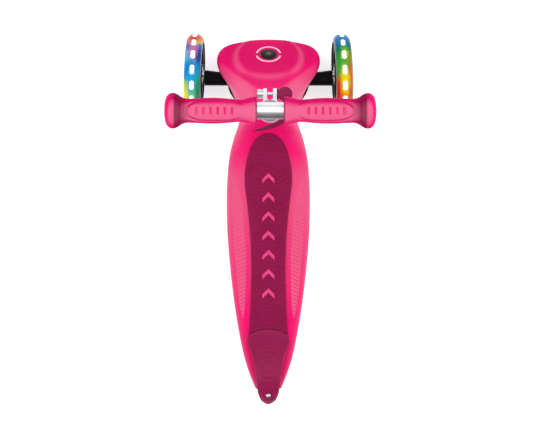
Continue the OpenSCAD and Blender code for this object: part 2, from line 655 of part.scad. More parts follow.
module left_spacer() { color(silver) on_left_wheel() inner_spacer(-half_w + 0.5, half_w - 2); }
module left_cap() { color(grey) on_left_wheel() hub_cap(); }
module right_tyre() { color(clear_blue) on_right_wheel() front_tyre(); }
module right_light_ring() { color(white) on_right_wheel() light_ring(); }
module right_hub() { color(black) on_right_wheel() front_hub(); }
module right_bearings() { color(steel) on_right_wheel() bearing_pair(-half_w + 0.5, half_w - 2); }
module right_spacer() { color(silver) on_right_wheel() inner_spacer(-half_w + 0.5, half_w - 2); }
module right_cap() { color(grey) on_right_wheel() hub_cap(); }

rear_seat = 11;
module rear_tyre() { color(grey) on_rear_wheel() tyre(rear_r, rear_r - 10.5, 8.5); }
module rear_hub() {
    color(black) on_rear_wheel() difference() {
        union() {
            ring_x(-half_w + 2, half_w - 2, rear_r - 15, rear_r - 10.5);
            along_x(-rear_seat, rear_seat, 14);
            along_x(-4, 4, rear_r - 13);
        }
        wheel_seats(-rear_seat, rear_seat);
    }
}
module rear_bearings() { color(steel) on_rear_wheel() bearing_pair(-rear_seat, rear_seat); }
module rear_spacer() { color(silver) on_rear_wheel() inner_spacer(-rear_seat, rear_seat); }
module rear_axle_bolt() {
    color(steel) on_rear_wheel() {
        along_x(-fork_out - 4.8, fork_out, 4);
        difference() {
            along_x(fork_out, fork_out + 3.6, 6.5);
            translate([fork_out + 1.6, 0, 0]) rotate([0, 90, 0]) cylinder(h = 4, r = 2.9, $fn = 6);
        }
    }
}
module rear_axle_nut() {
    color(steel) on_rear_wheel() difference() {
        translate([-fork_out - 4, 0, 0]) rotate([0, 90, 0]) cylinder(h = 4, r = 7, $fn = 6);
        along_x(-30, 0, 4);
    }
}
module rear_axle_washers() {
    color(silver) on_rear_wheel() for (side = [0, 1]) mirror([side, 0, 0])
        ring_x(rear_seat + 0.2, slot_half, 4, 6);
}

// ---- Rear brake ----------------------------------------------------------------------------
// Outline of the brake, from its front edge to its tail: [y, half width, height on the centre line].
brake_t = 3;
brake_side_t = 2.4;
brake_rows = [[-167.4, 28.9, 71.2], [-173, 29.8, 72.2], [-182, 29.9, 75], [-192, 27.3, 79], [-203, 24.3, 83],
    [-216, 21.1, 86.4], [-232, 19, 87.7], [-246, 17.7, 85.6], [-258, 16.2, 79.9], [-267, 14.2, 72.9],
    [-272.6, 11.2, 66.4], [tail_y + 0.8, 7.6, 60.8], [tail_y, 3.6, 57.6]];
brake_stations = smooth_rows(brake_rows, 2);
brake_cols = 7;
// Unit normal of the brake's centre line at a station, in the YZ plane.
function brake_normal(i) =
    let (a = row_at(brake_stations, i - 1), b = row_at(brake_stations, i + 1), d = [b[0] - a[0], b[2] - a[2]])
    [d[1], -d[0]] / norm(d);
// Each section is a shallow arch with a short side wall, square to the centre line.
function brake_section(i, side_t, t) =
    let (s = brake_stations[i], n = brake_normal(i), w = max(0.3, s[1] - side_t),
         share = max(0, min(1, (s[0] + 200) / 32)), fade = min(1, s[1] / 12),
         arch = (1.2 + 2.2 * (1 - share)) * fade, wall = arch + brake_t + 0.3 + 1.6 * (1 - share) * fade,
         depths = concat([[-w, wall]],
             [for (k = [0 : 2 * brake_cols])
                 let (u = (k - brake_cols) / brake_cols)
                 [w * power(u, 0.85), t + arch * pow(abs(u), 2.4)]],
             [[w, wall]]))
    [for (d = depths) [d[0], seam_y(d[0], s[0] - n[0] * d[1], share), s[2] - n[1] * d[1]]];
lug_in = 16.4;
lug_out = 21.4;
lug_r = 5;
module brake_fender() {
    color(dark_pink) difference() {
        union() {
            slab([for (i = [0 : len(brake_stations) - 1]) brake_section(i, 0, 0)],
                [for (i = [0 : len(brake_stations) - 1]) brake_section(i, brake_side_t, brake_t)]);
            for (side = [-1, 1]) translate([side * (lug_in + lug_out) / 2, brake_pivot[1], brake_pivot[2]]) {
                rotate([0, 90, 0]) cylinder(h = lug_out - lug_in, r = lug_r, center = true);
                translate([-(lug_out - lug_in) / 2, -lug_r, 0]) cube([lug_out - lug_in, 2 * lug_r, 11.4]);
            }
        }
        translate(brake_pivot) along_x(-40, 40, brake_pin_r + 0.06);
        translate([0, -265, 0]) cylinder(h = 120, r = 2.1);
        translate([0, -265, 73.6]) cylinder(h = 20, r = 3.7);
    }
}
module brake_pin() { color(steel) translate(brake_pivot) along_x(-25.5, 25.5, brake_pin_r); }
module brake_spring() {
    color(silver) translate([-10, brake_pivot[1], brake_pivot[2]]) rotate([0, 90, 0]) coil(3.4, 0.6, 8, 20);
}
module brake_screw() {
    color(steel) translate([0, -265, 0]) {
        translate([0, 0, 71.2]) cylinder(h = 2.4, r = 2);
        translate([0, 0, 73.6]) difference() {
            union() {
                cylinder(h = 1.4, r = 3.5);
                translate([0, 0, 1.4]) intersection() {
                    translate([0, 0, -5.6]) sphere(r = 7);
                    cylinder(h = 4, r = 3.5);
                }
            }
            translate([0, 0, 1]) cylinder(h = 4, r = 1.6, $fn = 6);
        }
    }
}

deck_shell();
deck_core();
grip_pad();
pad_accents();
core_screws();
steering_head();
head_screws();
lower_column();
column_bolt();
column_bush();
clamp_collar();
clamp_bolt();
clamp_nut();
clamp_saddle();
clamp_lever();
lever_pin();
upper_column();
tube_guide();
handlebar_tube();
bar_plugs();
grip_left();
grip_right();
lock_button();
lock_spring();
kingpin_bolt();
kingpin_nut();
kingpin_washers();
truck_frame();
truck_bushes();
steering_elastomer();
front_axle_bolts();
front_axle_washers();
left_tyre();
left_light_ring();
left_hub();
left_bearings();
left_spacer();
left_cap();
right_tyre();
right_light_ring();
right_hub();
right_bearings();
right_spacer();
right_cap();
rear_tyre();
rear_hub();
rear_bearings();
rear_spacer();
rear_axle_bolt();
rear_axle_nut();
rear_axle_washers();
brake_fender();
brake_pin();
brake_spring();
brake_screw();
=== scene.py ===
"""Looks of the kick scooter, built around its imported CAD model.

Sizes in the tables and in the mesh code are millimetres, in the frame of the CAD model: X to the right,
Y to the front, Z up, with the origin on the floor under the middle. Meshes are scaled to metres at the end.
"""
import math

import bmesh
import bpy
import numpy as np
from mathutils import Euler, Matrix, Vector
from mathutils.bvhtree import BVHTree


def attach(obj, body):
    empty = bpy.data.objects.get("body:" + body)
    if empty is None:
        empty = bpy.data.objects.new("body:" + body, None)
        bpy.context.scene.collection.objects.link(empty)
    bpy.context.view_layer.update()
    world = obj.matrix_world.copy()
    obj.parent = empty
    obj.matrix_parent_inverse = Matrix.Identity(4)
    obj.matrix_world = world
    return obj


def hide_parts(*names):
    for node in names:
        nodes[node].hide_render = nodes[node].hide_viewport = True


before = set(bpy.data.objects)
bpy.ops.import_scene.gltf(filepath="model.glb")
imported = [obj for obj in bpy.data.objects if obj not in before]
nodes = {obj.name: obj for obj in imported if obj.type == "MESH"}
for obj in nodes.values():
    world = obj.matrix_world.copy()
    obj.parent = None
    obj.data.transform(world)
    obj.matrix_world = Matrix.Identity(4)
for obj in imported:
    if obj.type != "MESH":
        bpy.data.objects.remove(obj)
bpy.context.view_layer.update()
scene = bpy.context.scene
MM = 0.001

# ---- Sizes shared with the CAD model --------------------------------------------------------
FRONT_R, REAR_R, HALF_W = 60.0, 40.0, 12.5
TRACK, FRONT_AXLE_Y, REAR_AXLE_Y = 219.0, 216.0, -232.0
CAMBER, TOE_IN = 2.5, 2.4
COLUMN_LEAN, COLUMN_Y, COLUMN_Z = 11.2, 147.0, 130.0
CLAMP_UP, BAR_Z = 427.0, 652.0
KINGPIN_LEAN, KINGPIN_Y, KINGPIN_Z = 40.6, 231.8, 122.0
BRAKE_PIVOT = (0, -176, 59)
BRAKE_SCREW = (0, -265, 0)
LUG_X = 18.9
DECK_LENGTH = 552.0
LIGHTS, LIGHT_PHASE = 16, 0.233
LENS_L, LENS_W = 6.5, 2.9
FIRST_LIGHT, OUT_LIGHT, OUT_HALF = -5.24, 85.0, 10.0
WALL = 3.0
PAD_T = 1.8
SEAM_R = 56.0
BAR_R, BAR_END = 11.1, 130.0
DENT_FIRST, DENT_STEP = 50.3, 9.45


def placed(x, y, z, turn=(0, 0, 0)):
    """A frame at a point in millimetres, turned by Euler angles in degrees."""
    turned = Euler([math.radians(a) for a in turn]).to_matrix().to_4x4()
    return Matrix.Translation((x * MM, y * MM, z * MM)) @ turned


COLUMN = placed(0, COLUMN_Y, COLUMN_Z, (COLUMN_LEAN, 0, 0))
KINGPIN = placed(0, KINGPIN_Y, KINGPIN_Z, (-KINGPIN_LEAN, 0, 0))
BAR = COLUMN @ placed(0, 0, (BAR_Z - COLUMN_Z) / math.cos(math.radians(COLUMN_LEAN)))
CLAMP = COLUMN @ placed(0, 0, CLAMP_UP)
LEFT_WHEEL = placed(-TRACK / 2, FRONT_AXLE_Y, FRONT_R, (0, -CAMBER, -TOE_IN))
RIGHT_WHEEL = placed(TRACK / 2, FRONT_AXLE_Y, FRONT_R, (0, CAMBER, TOE_IN))
REAR_WHEEL = placed(0, REAR_AXLE_Y, REAR_R)

# Deck stations from nose to tail: [y, half width, rim height, centre height, lower edge height].
DECK_ROWS = [
    [260, 0.6, 95, 97, 87], [258.6, 30, 95, 99, 86], [253.5, 56, 95, 103.4, 85.5],
    [244, 70.5, 95.5, 111.5, 85], [230, 75.8, 95.5, 123.3, 85], [214, 72.6, 93, 137, 85],
    [192, 59.8, 88, 152.5, 82], [172, 48.6, 80, 156, 75], [155, 43.0, 73, 150, 62],
    [141, 43.0, 69, 137, 52], [132, 45.6, 67, 122, 47], [126, 47.9, 66, 106, 45],
    [120, 50.2, 65, 92.5, 43], [112, 52.6, 63.5, 81.5, 41.5], [102, 55.2, 62.3, 74.5, 40],
    [89, 57.6, 61.3, 69.8, 39], [70, 59.6, 60.5, 67.2, 38], [35, 61.2, 60, 66, 37.5],
    [-20, 60.4, 60, 66, 37.5], [-75, 56.0, 60, 66, 37.5], [-125, 50.2, 60, 66, 37],
    [-170, 43.0, 60, 66, 35.5], [-205, 35.6, 60, 65.5, 31.5], [-230, 27.8, 58.5, 64, 28.5],
    [-250, 19.5, 54, 59, 31]]
# Outline of the pad: [y, half width].
PAD_ROWS = [
    [120.5, 0.8], [119, 10], [113, 19], [102, 26.4], [88, 31], [74, 33.8], [59, 34.9], [45, 34.2],
    [16, 30.7], [-12, 27.9], [-40, 26.0], [-70, 25.0], [-100, 25.3], [-127, 26.3], [-150, 27.5],
    [-166.2, 28.9]]
# Outline of the ribbed panel beside the pad: [y, inner x, outer x].
TREAD_ROWS = [
    [68, 50.6, 51.2], [60, 47.6, 53.4], [50, 44.8, 54.4], [36, 41.2, 54.3], [15, 37.6, 53.9],
    [-12, 35.0, 53.0], [-40, 33.2, 51.4], [-64, 32.2, 49.5], [-90, 32.4, 47.4], [-115, 33.0, 45.0],
    [-136, 34.0, 41.8], [-148, 36.0, 38.8], [-152, 37.2, 37.6]]
# Outline of the brake: [y, half width, height on the centre line].
BRAKE_ROWS = [
    [-167.4, 28.9, 71.2], [-173, 29.8, 72.2], [-182, 29.9, 75], [-192, 27.3, 79], [-203, 24.3, 83],
    [-216, 21.1, 86.4], [-232, 19, 87.7], [-246, 17.7, 85.6], [-258, 16.2, 79.9], [-267, 14.2, 72.9],
    [-272.6, 11.2, 66.4], [-275.2, 7.6, 60.8], [-276, 3.6, 57.6]]
# Outline of a grip: [distance from the bar's middle, radius].
GRIP_ROWS = [
    [17.8, 16.8], [18.6, 18.3], [21, 18.9], [27, 17.7], [38, 14.9], [50, 15.5], [62, 16.6], [74, 17.1],
    [88, 16.9], [102, 16.2], [111, 16.2], [117, 18.2], [122, 21.6], [128, 23.7], [133.5, 22.4],
    [137.6, 17.6], [139.6, 9.5]]
# The cam of the clamp lever: its middle in the clamp's frame, and its radius.
CAM, CAM_R = (20.4, 22.5), 9.7


# ---- Curves and grids -----------------------------------------------------------------------
def spline(a, b, c, d, u):
    """The point at a share u from b to c of a smooth line through four points."""
    square, cube = 2 * a - 5 * b + 4 * c - d, 3 * b - a - 3 * c + d
    return 0.5 * (2 * b + u * (c - a) + u * u * square + u**3 * cube)


def smooth_rows(rows, steps):
    """A table of rows with steps rows for each one, on a smooth line through them."""
    rows = np.array(rows, float)
    last = len(rows) - 1
    made = []
    for i in range(last):
        around = [rows[min(max(k, 0), last)] for k in range(i - 1, i + 3)]
        made += [spline(*around, k / steps) for k in range(steps)]
    return np.array(made + [rows[-1]])


def lookup(rows, y):
    """The other columns of a table at values y of its first column, which falls along the table."""
    return [np.interp(y, rows[::-1, 0], rows[::-1, k]) for k in range(1, rows.shape[1])]


def step(low, high, v):
    """0 below low and 1 above high, smooth between. It falls instead when low is the larger one."""
    t = np.clip((np.asarray(v, float) - low) / (high - low), 0, 1)
    return t * t * (3 - 2 * t)


def grid_faces(rows, cols, wrap=False, first=0):
    """The faces of a grid of points, whose first point has that number. wrap closes each row."""
    return [(first + j * cols + i, first + j * cols + (i + 1) % cols,
             first + (j + 1) * cols + (i + 1) % cols, first + (j + 1) * cols + i)
            for j in range(rows - 1) for i in range(cols if wrap else cols - 1)]


def slab(upper, lower):
    """A closed sheet from two equal grids of points."""
    rows, cols = upper.shape[:2]
    n = rows * cols
    points = np.concatenate([upper.reshape(-1, 3), lower.reshape(-1, 3)])
    loop = ([j * cols for j in range(rows)] + [(rows - 1) * cols + i for i in range(1, cols)]
            + [j * cols + cols - 1 for j in range(rows - 2, -1, -1)] + [i for i in range(cols - 2, 0, -1)])
    rim = [(a, b, b + n, a + n) for a, b in zip(loop, loop[1:] + loop[:1])]
    return points, grid_faces(rows, cols) + grid_faces(rows, cols, first=n) + rim


def revolve(profile, segments, bump=None):
    """A closed outline of (x, radius) points turned about X. bump(x, radius, angle) adds to the radius."""
    profile = np.array(profile, float)
    angles = 2 * np.pi * np.arange(segments) / segments
    x, angle = np.meshgrid(profile[:, 0], angles)
    radius = np.tile(profile[:, 1], (segments, 1))
    if bump is not None:
        radius = radius + bump(x, radius, angle)
    points = np.stack([x, -radius * np.sin(angle), radius * np.cos(angle)], -1)
    n, m = segments, len(profile)
    faces = [(j * m + i, j * m + (i + 1) % m, (j + 1) % n * m + (i + 1) % m, (j + 1) % n * m + i)
             for j in range(n) for i in range(m)]
    return points.reshape(-1, 3), faces


def prism(outline, low, high):
    """An outline of (x, y) points drawn up from low to high along Z."""
    n = len(outline)
    points = [(x, y, low) for x, y in outline] + [(x, y, high) for x, y in outline]
    faces = [tuple(range(n))[::-1], tuple(range(n, 2 * n))]
    return points, faces + [(i, (i + 1) % n, n + (i + 1) % n, n + i) for i in range(n)]


def circle(r, sides=64, x=0, y=0):
    turns = [2 * math.pi * k / sides for k in range(sides)]
    return [(x + r * math.cos(a), y + r * math.sin(a)) for a in turns]


def box_outline(x0, x1, y0, y1):
    return [(x0, y0), (x1, y0), (x1, y1), (x0, y1)]


# ---- Objects --------------------------------------------------------------------------------
def solid(name, points, faces, at=None, own_frame=False, round_edges=0.0):
    """A mesh object of points in millimetres in the frame at, with that origin too if own_frame is set."""
    mesh = bpy.data.meshes.new(name)
    made = bmesh.new()
    put = Matrix.Identity(4) if at is None or own_frame else at
    verts = [made.verts.new(put @ (Vector(p) * MM)) for p in np.asarray(points, float)]
    for face in faces:
        made.faces.new([verts[i] for i in face])
    bmesh.ops.remove_doubles(made, verts=made.verts, dist=1e-7)
    bmesh.ops.dissolve_degenerate(made, edges=made.edges, dist=1e-8)
    bmesh.ops.recalc_face_normals(made, faces=made.faces)
    if round_edges:
        edges = [e for e in made.edges if len(e.link_faces) == 2 and e.calc_face_angle() > 0.9]
        bmesh.ops.bevel(made, geom=edges, offset=round_edges * MM, segments=4, profile=0.5, affect="EDGES")
    made.to_mesh(mesh)
    made.free()
    made_object = bpy.data.objects.new(name, mesh)
    scene.collection.objects.link(made_object)
    if own_frame:
        made_object.matrix_world = at
    bpy.context.view_layer.update()
    return made_object


def combine(target, others, operation="DIFFERENCE"):
    """Cuts the others out of the target, or joins them to it, and removes them."""
    for other in others:
        change = target.modifiers.new("combine", "BOOLEAN")
        change.operation, change.solver, change.object = operation, "MANIFOLD", other
        bpy.context.view_layer.update()
        graph = bpy.context.evaluated_depsgraph_get()
        mesh = bpy.data.meshes.new_from_object(target.evaluated_get(graph))
        target.modifiers.clear()
        target.data = mesh
        bpy.data.objects.remove(other)
    return target


def finish_piece(piece, body, material, stands_for=(), sharp=38):
    """Gives a piece its shading, material and body, and hides the CAD nodes that it replaces."""
    piece.data.shade_smooth()
    piece.data.set_sharp_from_angle(angle=math.radians(sharp))
    piece.data.materials.clear()
    piece.data.materials.append(material)
    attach(piece, body)
    if stands_for:
        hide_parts(*stands_for)


# ---- Materials ------------------------------------------------------------------------------
class Finish:
    """A Principled material with helpers that add nodes to it. Lengths in its patterns are millimetres."""

    def __init__(self, name, rough=0.4, metal=0.0, coat=0.0, coat_rough=0.1, specular=0.5):
        self.material = bpy.data.materials.new(name)
        self.material.use_nodes = True
        self.tree = self.material.node_tree
        self.shader = self.tree.nodes["Principled BSDF"]
        for socket, value in (("Roughness", rough), ("Metallic", metal), ("Coat Weight", coat),
                              ("Coat Roughness", coat_rough), ("Specular IOR Level", specular)):
            self.shader.inputs[socket].default_value = value
        self.place = self.new("ShaderNodeTexCoord").outputs["Object"]

    def new(self, kind, **settings):
        node = self.tree.nodes.new(kind)
        for key, value in settings.items():
            setattr(node, key, value)
        return node

    def link(self, source, target):
        if isinstance(source, (int, float)):
            target.default_value = source
        else:
            self.tree.links.new(source, target)

    def math(self, operation, a, b=0.0, clamp=False):
        node = self.new("ShaderNodeMath", operation=operation, use_clamp=clamp)
        self.link(a, node.inputs[0])
        self.link(b, node.inputs[1])
        return node.outputs[0]

    def plus(self, a, b, clamp=False):
        return self.math("ADD", a, b, clamp)

    def minus(self, a, b, clamp=False):
        return self.math("SUBTRACT", a, b, clamp)

    def times(self, a, b, clamp=False):
        return self.math("MULTIPLY", a, b, clamp)

    def over(self, a, b, clamp=False):
        return self.math("DIVIDE", a, b, clamp)

    def size(self, a):
        return self.math("ABSOLUTE", a)

    def length(self, a, b):
        return self.math("SQRT", self.plus(self.times(a, a), self.times(b, b)))

    def from_whole(self, a):
        """How far a value is from the nearest whole number, with its sign."""
        return self.minus(a, self.math("ROUND", a))

    def rising(self, value, start, rate):
        """0 up to the start, then growing at that rate to 1. A negative rate falls to 0 at the start."""
        return self.times(self.minus(value, start), rate, clamp=True)

    def near(self, distance, reach):
        """1 at no distance, falling to 0 at the reach."""
        return self.minus(1.0, self.over(distance, reach), clamp=True)

    def parts(self, vector):
        split = self.new("ShaderNodeSeparateXYZ")
        self.link(vector, split.inputs[0])
        return split.outputs

    def ramp(self, value, stops, smooth=False):
        node = self.new("ShaderNodeValToRGB")
        node.color_ramp.interpolation = "EASE" if smooth else "LINEAR"
        for k, (where, colour) in enumerate(stops):
            stop = node.color_ramp.elements[k] if k < 2 else node.color_ramp.elements.new(where)
            stop.position, stop.color = where, (*colour, 1)
        self.link(value, node.inputs[0])
        return node.outputs["Color"]

    def curve(self, value, stops):
        """A share read off the line through (value, share) stops."""
        return self.ramp(value, [(k, (share, share, share)) for k, share in stops])

    def mix(self, share, a, b, blend="MIX"):
        node = self.new("ShaderNodeMix", data_type="RGBA", blend_type=blend)
        self.link(share, node.inputs["Factor"])
        for colour, socket in ((a, node.inputs[6]), (b, node.inputs[7])):
            if isinstance(colour, tuple):
                socket.default_value = (*colour, 1)
            else:
                self.tree.links.new(colour, socket)
        return node.outputs[2]

    def noise(self, size, detail=2.0, stretch=(1, 1, 1), turn=(0, 0, 0)):
        """Noise with blotches of about that size in millimetres, longer along axes with more stretch."""
        mapping = self.new("ShaderNodeMapping")
        mapping.inputs["Rotation"].default_value = [math.radians(a) for a in turn]
        mapping.inputs["Scale"].default_value = [1 / s for s in stretch]
        self.link(self.place, mapping.inputs["Vector"])
        node = self.new("ShaderNodeTexNoise")
        node.inputs["Scale"].default_value = 1000 / size
        node.inputs["Detail"].default_value = detail
        self.link(mapping.outputs[0], node.inputs["Vector"])
        return node.outputs["Fac"]

    def spread(self, value, low, high):
        """A noise value spread over a range."""
        node = self.new("ShaderNodeMapRange")
        node.inputs["From Min"].default_value, node.inputs["From Max"].default_value = 0.3, 0.7
        node.inputs["To Min"].default_value, node.inputs["To Max"].default_value = low, high
        self.link(value, node.inputs["Value"])
        return node.outputs["Result"]

    def roughness(self, value, low, high):
        self.link(self.spread(value, low, high), self.shader.inputs["Roughness"])

    def bump(self, heights):
        """Relief from (height value, depth in millimetres) pairs, one on the other."""
        under = None
        for value, depth in heights:
            node = self.new("ShaderNodeBump")
            node.inputs["Strength"].default_value = 1.0
            node.inputs["Distance"].default_value = depth * MM
            self.link(value, node.inputs["Height"])
            if under is not None:
                self.link(under, node.inputs["Normal"])
            under = node.outputs["Normal"]
        self.link(under, self.shader.inputs["Normal"])

    def paint(self, socket, source):
        if isinstance(source, tuple):
            self.shader.inputs[socket].default_value = (*source, 1)
        else:
            self.link(source, self.shader.inputs[socket])

    def colour(self, source):
        self.paint("Base Color", source)

    def glow(self, source, strength):
        self.paint("Emission Color", source)
        self.shader.inputs["Emission Strength"].default_value = strength


def srgb(r, g, b):
    """A colour given as 0 to 255 display values."""
    shares = [c / 255 for c in (r, g, b)]
    return tuple(c / 12.92 if c <= 0.04045 else ((c + 0.055) / 1.055) ** 2.4 for c in shares)


def shade(colour, k):
    return tuple(min(1.0, c * k) for c in colour)


def moulded(name, colour, rough, grain=0.4, depth=0.02, vary=0.06, specular=0.5, painted_light=None):
    """Moulded plastic: a fine grain, a faint orange peel, and slow drifts of colour and gloss.

    painted_light is (paler colour, function giving its share): a painted highlight, laid on by the
    surface's direction and place.
    """
    m = Finish(name, rough, specular=specular)
    drift = m.noise(38, 3)
    base = m.mix(m.spread(drift, 0, 1), shade(colour, 1 - vary), shade(colour, 1 + vary))
    # Painted highlight: the paler colour where the share function gives it.
    if painted_light:
        base = m.mix(painted_light[1](m), base, painted_light[0])
    m.colour(base)
    m.roughness(m.noise(7, 4), rough - 0.05, rough + 0.05)
    m.bump([(m.noise(grain, 2), depth), (m.noise(5, 1), depth * 1.5)])
    return m.material


def facing(m):
    """The parts of the surface's direction: right, front and up."""
    return m.parts(m.new("ShaderNodeTexCoord").outputs["Normal"])


def local_part(m, frame_at, axis):
    """How far along an axis of a frame the surface is, in millimetres."""
    way = frame_at.to_3x3() @ Vector(axis)
    node = m.new("ShaderNodeVectorMath", operation="DOT_PRODUCT")
    m.link(m.place, node.inputs[0])
    node.inputs[1].default_value = way / MM
    return m.minus(node.outputs["Value"], way.dot(frame_at.to_translation()) / MM)


def round_kingpin(m):
    """The surface's place seen along the kingpin: to the right, to the front, and its distance."""
    px, py = local_part(m, KINGPIN, (1, 0, 0)), local_part(m, KINGPIN, (0, 1, 0))
    return px, py, m.length(px, py)


def painted_sheen_share(m):
    """How much painted highlight the shell gets: along the deck's middle, on the nose's flanks, and round
    its plateau.
    """
    right, front, _ = facing(m)
    y = local_part(m, Matrix.Identity(4), (0, 1, 0))
    # Painted sheen along the deck's middle and near the nose, set by place along the length.
    along = m.curve(m.over(m.plus(y, DECK_LENGTH / 2), DECK_LENGTH), (
        (0, 0), (0.22, 0), (0.42, 0.36), (0.54, 0.70), (0.61, 0.62), (0.67, 0.08), (0.74, 0),
        (0.80, 0.16), (0.86, 0.08), (0.90, 0)))

    # Painted highlight on the nose's flanks that face sideways, less where they face the front.
    sideways = m.minus(m.size(right), m.times(m.math("MAXIMUM", front, 0.0), 2.2))
    behind = m.over(m.minus(226.0, y), 42.0, clamp=True)
    flank = m.times(m.rising(sideways, 0.06, 1.7), behind)

    # Painted highlight in a band round the plateau, strongest at its sides and back.
    px, py, rho = round_kingpin(m)
    band = m.near(m.size(m.minus(rho, 48.5)), 6.5)
    at_sides = m.rising(m.over(m.size(px), rho), 0.62, 3.2)
    at_back = m.rising(m.over(py, m.times(rho, -1.0)), 0.80, 4.0)
    strength = m.plus(m.times(m.math("MAXIMUM", at_sides, at_back), 0.55), 0.12)
    short_of_front = m.over(m.minus(40.0, py), 30.0, clamp=True)
    past_column = m.over(m.minus(y, 140.0), 20.0, clamp=True)
    band = m.times(m.times(band, strength), m.times(short_of_front, past_column))
    return m.plus(m.plus(along, m.times(flank, 0.85)), band, clamp=True)


def metal(name, colour, rough, along=(1, 1, 1), turn=(0, 0, 0), depth=0.006, vary=0.05):
    """Drawn or machined metal: hairlines along one axis, and slow drifts of tone."""
    m = Finish(name, rough, metal=1.0)
    hair = m.noise(0.5, 3, stretch=along, turn=turn)
    drift = m.noise(30, 2)
    m.colour(m.mix(m.spread(drift, 0, 1), shade(colour, 1 - vary), shade(colour, 1 + vary)))
    m.roughness(hair, rough - 0.06, rough + 0.08)
    m.bump([(hair, depth)])
    return m.material


def button_highlight_share(m):
    """A painted highlight: a soft pale spot in the middle of the lock button."""
    _, _, rho = round_kingpin(m)
    near = m.near(rho, 8.5)
    return m.times(near, near)


PINK = (0.86, 0.005, 0.150)
# Paler pink that the shell takes as a painted highlight and sheen.
PAINTED_SHEEN_PINK = (0.80, 0.110, 0.250)
BERRY = (0.285, 0.008, 0.068)

# Shell pink, with a painted highlight and sheen laid on by place and direction.
shell_pink = moulded("shell_pink", PINK, 0.36, grain=0.6, depth=0.006, vary=0.03, specular=0.03,
                     painted_light=(PAINTED_SHEEN_PINK, painted_sheen_share))
# The ribbed panels' pink is made paler than the shell's as a painted sheen.
tread_sheen_pink = moulded("tread_sheen_pink", (0.80, 0.095, 0.225), 0.55, grain=0.5, depth=0.03, vary=0.03,
                     specular=0.1)
accent = moulded("accent", (0.78, 0.030, 0.20), 0.5, grain=0.4, depth=0.015, specular=0.35)
pad_rubber = moulded("pad_rubber", (0.27, 0.006, 0.062), 0.6, grain=0.35, depth=0.03, vary=0.08,
                     specular=0.12)
brake_plastic = moulded("brake_plastic", BERRY, 0.40, grain=0.35, depth=0.02, specular=0.14)
lever_plastic = moulded("lever_plastic", (0.23, 0.005, 0.058), 0.40, grain=0.4, depth=0.012, specular=0.14)
black_nylon = moulded("black_nylon", (0.010, 0.010, 0.011), 0.5, grain=0.5, depth=0.03, vary=0.2,
                      specular=0.25)
truck_black = moulded("truck_black", (0.006, 0.006, 0.0065), 0.45, grain=0.8, depth=0.04, vary=0.25,
                      specular=0.05)
# Glossy black, with a painted highlight in the lock button's middle.
gloss_black = moulded("gloss_black", (0.008, 0.007, 0.007), 0.42, grain=0.5, depth=0.006, vary=0.15,
                      specular=0.12, painted_light=((0.19, 0.155, 0.158), button_highlight_share))
hub_dark = moulded("hub_dark", (0.030, 0.031, 0.033), 0.5, grain=0.5, depth=0.03, vary=0.2)
hub_cap = moulded("hub_cap", (0.045, 0.046, 0.05), 0.35, grain=0.4, depth=0.01, vary=0.15)
bush_white = moulded("bush_white", (0.72, 0.72, 0.70), 0.45)
elastomer = moulded("elastomer", (0.10, 0.10, 0.105), 0.65, grain=0.8, depth=0.05, vary=0.15)
rear_rubber = moulded("rear_rubber", (0.035, 0.035, 0.037), 0.5, grain=0.4, depth=0.03, vary=0.15)
ring_grey = moulded("ring_grey", (0.30, 0.30, 0.32), 0.5, grain=0.4, depth=0.01)
ring_paint = moulded("ring_paint", srgb(250, 205, 232), 0.4, grain=0.5, depth=0.01, vary=0.03)
anodised = metal("anodised", (0.86, 0.86, 0.88), 0.36, along=(1, 1, 40), turn=(-COLUMN_LEAN, 0, 0))
bar_metal = metal("bar_metal", (0.80, 0.80, 0.83), 0.46, along=(40, 1, 1))
silver_alloy = metal("silver_alloy", (0.66, 0.65, 0.70), 0.5, depth=0.012)
zinc = metal("zinc", (0.62, 0.63, 0.65), 0.32, depth=0.012)
bearing_steel = metal("bearing_steel", (0.66, 0.67, 0.69), 0.22, depth=0.004)
spring_steel = metal("spring_steel", (0.60, 0.60, 0.61), 0.28, depth=0.004)


def dents(m, across):
    """Share of painted shade in a grip's six dents, kept out of its painted highlight: more in the inner
    ones.
    """
    x = m.times(m.size(across), 1000.0)
    off = m.times(m.size(m.from_whole(m.over(m.minus(x, DENT_FIRST), DENT_STEP))), DENT_STEP)
    strength = m.curve(m.over(x, 120.0), [(k / 120, v) for k, v in (
        (45, 0), (46, 0.75), (70, 1), (88, 0.5), (100, 0.25), (101.5, 0))])
    v = local_part(m, BAR, (0, 1, 0))
    inside = m.minus(3.4, m.times(m.size(v), 0.55), clamp=True)
    return m.times(m.times(m.near(off, 2.0), strength), inside)


def grip_finish():
    """Soft pink rubber, with painted shade in the neck beside the end knob, at the inner rim and in the
    dents, and a painted highlight where it faces up and back.
    """
    m = Finish("grip_rubber", 0.46, specular=0.02)
    across = m.parts(m.place)[0]
    # Painted shade: darker in the neck beside the end knob and at the inner rim.
    deep = m.curve(m.times(m.size(across), 1 / 0.14), [(k / 140, v) for k, v in (
        (0, 0.3), (18.4, 0.45), (20.5, 1), (106, 1), (114, 0.62), (119, 0.36), (125.6, 0.30), (128, 0.9),
        (133, 1))])
    drift = m.noise(30, 3)
    deep_pink = m.mix(m.spread(drift, 0, 1), (0.76, 0.001, 0.135), (0.80, 0.003, 0.150))
    _, front, up = facing(m)
    # Painted highlight where the grip faces up and back; the dents are left out of it as painted shade.
    lit = m.rising(m.minus(up, m.times(front, 0.35)), 0.66, 3.6)
    lit = m.times(lit, m.minus(1.0, dents(m, across)))
    # Grip pink where it is shaded, and a paler painted highlight pink.
    tone = m.mix(lit, deep_pink, (0.78, 0.118, 0.258))
    m.colour(m.mix(1.0, tone, deep, "MULTIPLY"))
    m.roughness(m.noise(5, 4), 0.42, 0.52)
    m.bump([(m.noise(0.35, 2), 0.02), (m.noise(4, 1), 0.02)])
    return m.material


